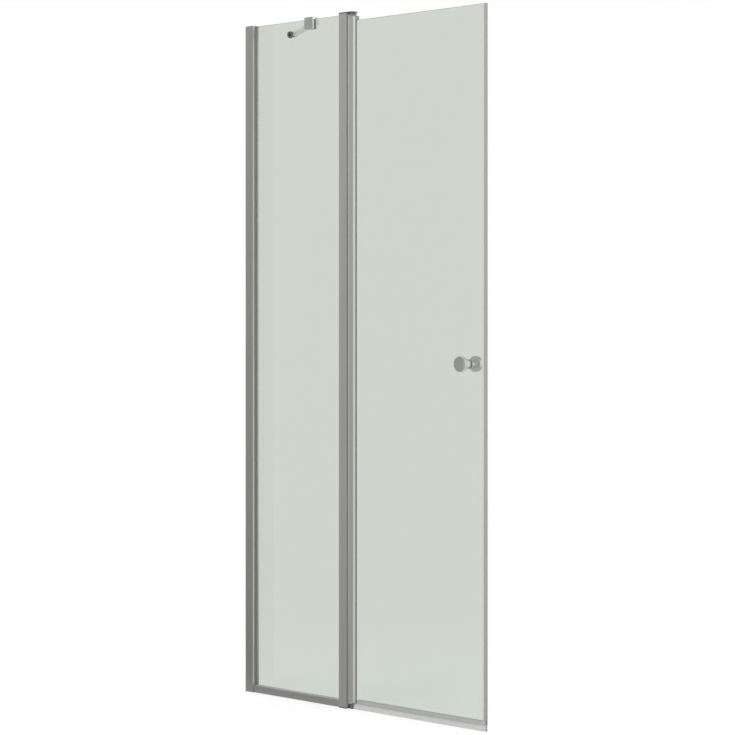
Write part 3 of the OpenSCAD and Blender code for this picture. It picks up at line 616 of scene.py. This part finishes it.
def soften(piece, radius):
    """Rounds the sharp edges of a CAD node by radius metres, without touching its own mesh."""
    weld = piece.modifiers.new("weld", "WELD")
    weld.merge_threshold = WELD
    flat = piece.modifiers.new("whole_faces", "DECIMATE")
    flat.decimate_type = "DISSOLVE"
    flat.angle_limit = FLAT_WITHIN
    edge = piece.modifiers.new("soft_edges", "BEVEL")
    edge.width = radius
    edge.segments = 2
    edge.limit_method = "ANGLE"
    edge.angle_limit = SHARP_FROM
    edge.miter_outer = "MITER_ARC"
    piece.modifiers.new("even_shading", "WEIGHTED_NORMAL")


def dress(material, radius, *names):
    """Gives CAD nodes a finish and soft edges."""
    for name in names:
        for slot in cad[name].material_slots:
            slot.material = material
        soften(cad[name], radius)


print("edges sharper than", round(math.degrees(SHARP_FROM)), "degrees are rounded")

# %% [markdown]
# Aluminium is extruded with edges of about 0.4 mm, sheet and moulded parts have
# 0.3 mm, and screws and rubber less. The clamp and the bar's fittings are cast
# and polished, so that their edges are the roundest.

# %% Dress the metal
dress(anodised_wall, 0.4 * MM, "wall_channel", "glazing_profile")
dress(anodised_upright, 0.4 * MM, "post_profile")
dress(anodised_tube, 0.4 * MM, "hinge_tube")
dress(anodised_level, 0.4 * MM, "bottom_rail")
dress(plate_steel, 0.3 * MM, "top_pivot_plate", "foot_pivot_plate")
dress(stainless, 0.15 * MM, "profile_lock_screws", "top_plate_screws", "foot_plate_screws",
      "top_pivot_pin", "foot_pivot_pin", "clamp_set_screws", "clamp_swivel_pin", "bar_grub_screws",
      "flange_swivel_pin", "knob_stud")
dress(satin_chrome, 0.5 * MM, "clamp_body")
dress(bar_chrome, 0.5 * MM, "bar_end_clamp")
dress(plate_steel, 0.5 * MM, "bar_end_wall", "wall_flange")
dress(bar_chrome, 0.2 * MM, "stabiliser_bar")
print("dressed", sum(1 for o in cad.values() if o.modifiers), "nodes of metal")

# %% [markdown]
# Each gasket has its own tone, because the photograph shows a dark line at the
# wall, grey ones at the tube and pale ones beside the post. Part of those tones
# is painted light: the post's seals, the tube's outer gasket and the wall's inner
# gasket are drawn lighter to lift the shade they lie in.

# %% Dress rubber and plastic
dress(cap_grey, 0.3 * MM, "profile_top_cap", "upper_tube_plug", "lower_tube_plug")
dress(acetal_grey, 0.3 * MM, "top_pivot_bush", "foot_pivot_bush", "setting_blocks", "clamp_pads",
      "clamp_washers", "flange_washers")
dress(rubber_dark, 0.15 * MM, "wall_gasket_outer")
dress(rubber_grey, 0.15 * MM, "post_seal_outer", "post_seal_inner")
dress(rubber_thin, 0.15 * MM, "hinge_gasket_outer")
dress(rubber_white_painted_light, 0.15 * MM, "wall_gasket_inner")
dress(rubber_light, 0.15 * MM, "rail_gasket_outer", "rail_gasket_inner", "post_gasket_outer",
      "post_gasket_inner", "hinge_gasket_inner")
dress(pvc_clip, 0.15 * MM, "knob_sleeve", "knob_washers", "bottom_seal")
dress(pvc_lip, 0.15 * MM, "bottom_seal_lip")
dress(pvc_edge, 0.2 * MM, "edge_seal")
dress(magnet_dark, 0.2 * MM, "edge_magnet")
print("dressed", sum(1 for o in cad.values() if o.modifiers), "of", len(cad), "nodes")

# %% [markdown]
# ## Panes
# Each pane is cut from a sheet, drilled, its corners rounded by a few
# millimetres and every edge ground to a small chamfer before toughening. A flat
# outline, filled and pulled through the thickness, is how the glazier works too.
# It stays a tenth of a millimetre clear of the gaskets, because two faces in one
# place confuse the rays that pass through them.

# %% Outline of a pane
CORNER = 3 * MM
CORNER_STEPS = 6
HOLE_STEPS = 48


def ring(centre, radius, start, end, steps):
    """Points on an arc in X and Z, angles in degrees."""
    angles = [math.radians(start + (end - start) * i / steps) for i in range(steps + 1)]
    return [(centre[0] + radius * math.cos(a), centre[1] + radius * math.sin(a)) for a in angles]


def pane_outline(low, high):
    """Rectangle in X and Z with round corners."""
    middle = (low + high) / 2
    points = []
    for x, z, start in ((high.x, high.z, 0), (low.x, high.z, 90), (low.x, low.z, 180), (high.x, low.z, 270)):
        inset = (x + math.copysign(CORNER, middle.x - x), z + math.copysign(CORNER, middle.z - z))
        points += ring(inset, CORNER, start, start + 90, CORNER_STEPS)
    return points


print("pane corners", CORNER / MM, "mm in radius")

# %% [markdown]
# The outline lies on the front face. Filled and extruded it becomes the pane,
# and a bevel of one segment along both rims grinds the edge. The faces get clear
# glass and all that lies round them the frosted finish.

# %% Cut the panes
ARRIS = 0.7 * MM
BEDDING = 0.1 * MM
HOLE_GAP = 0.1 * MM
SQUARE_FROM = math.radians(60)
IN_ONE_FACE = 0.1 * MM
FACES_ACROSS = 0.99


def pane(name, node, drilled=None):
    """A pane of glass in the place of a CAD node, with a drilled hole if its centre and radius are given."""
    low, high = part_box(node)
    low.y, high.y = low.y + BEDDING, high.y - BEDDING
    loops = [pane_outline(low, high)]
    if drilled:
        loops.append(ring(drilled[0], drilled[1], 0, 360, HOLE_STEPS)[:-1])
    bm = bmesh.new()
    edges = []
    for points in loops:
        made = [bm.verts.new((x, low.y, z)) for x, z in points]
        edges += [bm.edges.new((made[i - 1], made[i])) for i in range(len(made))]
    filled = bmesh.ops.triangle_fill(bm, edges=edges, use_beauty=True)["geom"]
    faces = [g for g in filled if isinstance(g, bmesh.types.BMFace)]
    pulled = bmesh.ops.extrude_face_region(bm, geom=faces)["geom"]
    pulled_verts = [g for g in pulled if isinstance(g, bmesh.types.BMVert)]
    bmesh.ops.translate(bm, vec=(0, high.y - low.y, 0), verts=pulled_verts)
    bmesh.ops.recalc_face_normals(bm, faces=bm.faces)
    sharp = [e for e in bm.edges if len(e.link_faces) == 2 and e.calc_face_angle() > SQUARE_FROM]
    rims = [e for e in sharp if abs(e.verts[0].co.y - e.verts[1].co.y) < IN_ONE_FACE]
    bmesh.ops.bevel(bm, geom=rims, offset=ARRIS, segments=1, affect="EDGES", profile=0.5)
    for f in bm.faces:
        f.material_index = 0 if abs(f.normal.y) > FACES_ACROSS else 1
    mesh = bpy.data.meshes.new(name)
    bm.to_mesh(mesh)
    bm.free()
    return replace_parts(link(name, mesh, clear_glass, ground_edge), node)


sleeve_low, sleeve_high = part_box("knob_sleeve")
hole_r = (sleeve_high.x - sleeve_low.x) / 2 + HOLE_GAP

fixed_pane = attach(pane("fixed_pane", "fixed_glass"), "fixed_panel")
door_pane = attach(pane("door_pane", "door_glass", (knob_axis, hole_r)), "door")
for piece in (fixed_pane, door_pane):
    print(piece.name, [round(v / MM) for v in piece.dimensions], "mm,", len(piece.data.polygons), "faces")

# %% [markdown]
# ## Knobs
# The knobs are turned on a lathe from brass bar and plated: a foot with a small
# fillet, a neck, a head with rounded rims and a hair-fine groove, and a face
# that is dished by a few tenths of a millimetre, so that its rim catches the
# light. A half section spun round the axis of the stud is the same as turning.
# The section is drawn in millimetres, as a turner's drawing is.

# %% Section of a knob
FOOT_R, FOOT_EDGE, FOOT_FILLET = 12, 0.3, 2.0
NECK_R, NECK_FILLET = 10, 2.5
HEAD_T, HEAD_ROUND, FACE_ROUND = 12, 2.0, 1.6
GROOVE_AT, GROOVE_HALF, GROOVE_DEPTH = 4.0, 0.4, 0.35
DISH_RIM = ((2.2, 0.1), (3.0, 0.35))
DISH_FLAT, DISH_DEEP, DISH_BOTTOM = 0.4, 0.55, 0.6
CURL_STEPS = 6


def knob_section(head, bore_r, bore_h, height):
    """Half section of a knob from its bore round to the middle of its face, as radius and height."""
    back = height - HEAD_T
    groove = back + GROOVE_AT
    points = [(0, bore_h), (bore_r, bore_h), (bore_r, 0), (FOOT_R - FOOT_EDGE, 0), (FOOT_R, FOOT_EDGE)]
    points += ring((FOOT_R, FOOT_EDGE + FOOT_FILLET), FOOT_FILLET, 270, 180, CURL_STEPS)
    points += [(NECK_R, back - NECK_FILLET)]
    points += ring((NECK_R + NECK_FILLET, back - NECK_FILLET), NECK_FILLET, 180, 90, CURL_STEPS)
    points += ring((head - HEAD_ROUND, back + HEAD_ROUND), HEAD_ROUND, 270, 360, CURL_STEPS)
    points += [(head, groove - GROOVE_HALF), (head - GROOVE_DEPTH, groove), (head, groove + GROOVE_HALF)]
    points += ring((head - FACE_ROUND, height - FACE_ROUND), FACE_ROUND, 0, 90, CURL_STEPS)
    points += [(head - inward, height - deep) for inward, deep in DISH_RIM]
    points += [(head * DISH_FLAT, height - DISH_DEEP), (0, height - DISH_BOTTOM)]
    return points


print("groove", 2 * GROOVE_HALF, "mm wide and", GROOVE_DEPTH, "mm deep")

# %% [markdown]
# The spin tool turns the section into a closed body. Both knobs use one section,
# outside and inside, with a bore that leaves the stud free. The face gets the
# turned finish, and smooth shading stops at creases.

# %% Turn the knobs
TURNING = 128
STUD_FIT = 0.05
STUD_GAP = 0.3
FACE_BAND = 1.0 * MM
FACE_ACROSS = 0.9
CREASE_FROM = math.radians(50)


def knob(name, node, outward):
    """A knob about its stud in the place of a CAD node. outward is -1 outside the shower and 1 inside."""
    low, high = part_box(node)
    stud_low, stud_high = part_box("knob_stud")
    foot_y = high.y if outward < 0 else low.y
    reach = (foot_y - stud_low.y if outward < 0 else stud_high.y - foot_y) / MM + STUD_GAP
    bore_r = (stud_high.x - stud_low.x) / 2 / MM + STUD_FIT
    section = knob_section((high.x - low.x) / 2 / MM, bore_r, reach, (high.y - low.y) / MM)
    lathe = bmesh.new()
    line = [
        lathe.verts.new((knob_axis[0] + r * MM, foot_y + outward * h * MM, knob_axis[1])) for r, h in section
    ]
    edges = [lathe.edges.new(pair) for pair in zip(line, line[1:])]
    bmesh.ops.spin(lathe, geom=line + edges, cent=(knob_axis[0], 0, knob_axis[1]), axis=(0, 1, 0),
                   angle=math.tau, steps=TURNING, use_merge=True)
    bmesh.ops.remove_doubles(lathe, verts=lathe.verts, dist=WELD)
    bmesh.ops.recalc_face_normals(lathe, faces=lathe.faces)
    face_y = foot_y + outward * (high.y - low.y)
    for f in lathe.faces:
        f.smooth = True
        near_face = abs(f.calc_center_median().y - face_y) < FACE_BAND
        f.material_index = 1 if near_face and abs(f.normal.y) > FACE_ACROSS else 0
    mesh = bpy.data.meshes.new(name)
    lathe.to_mesh(mesh)
    lathe.free()
    mesh.set_sharp_from_angle(angle=CREASE_FROM)
    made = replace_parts(link(name, mesh, knob_chrome, turned_face), node)
    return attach(made, "door")


for name, node, outward in (("outer_knob", "knob_outer", -1), ("inner_knob", "knob_inner", 1)):
    piece = knob(name, node, outward)
    print(name, [round(v / MM, 1) for v in piece.dimensions], "mm,", len(piece.data.polygons), "faces")
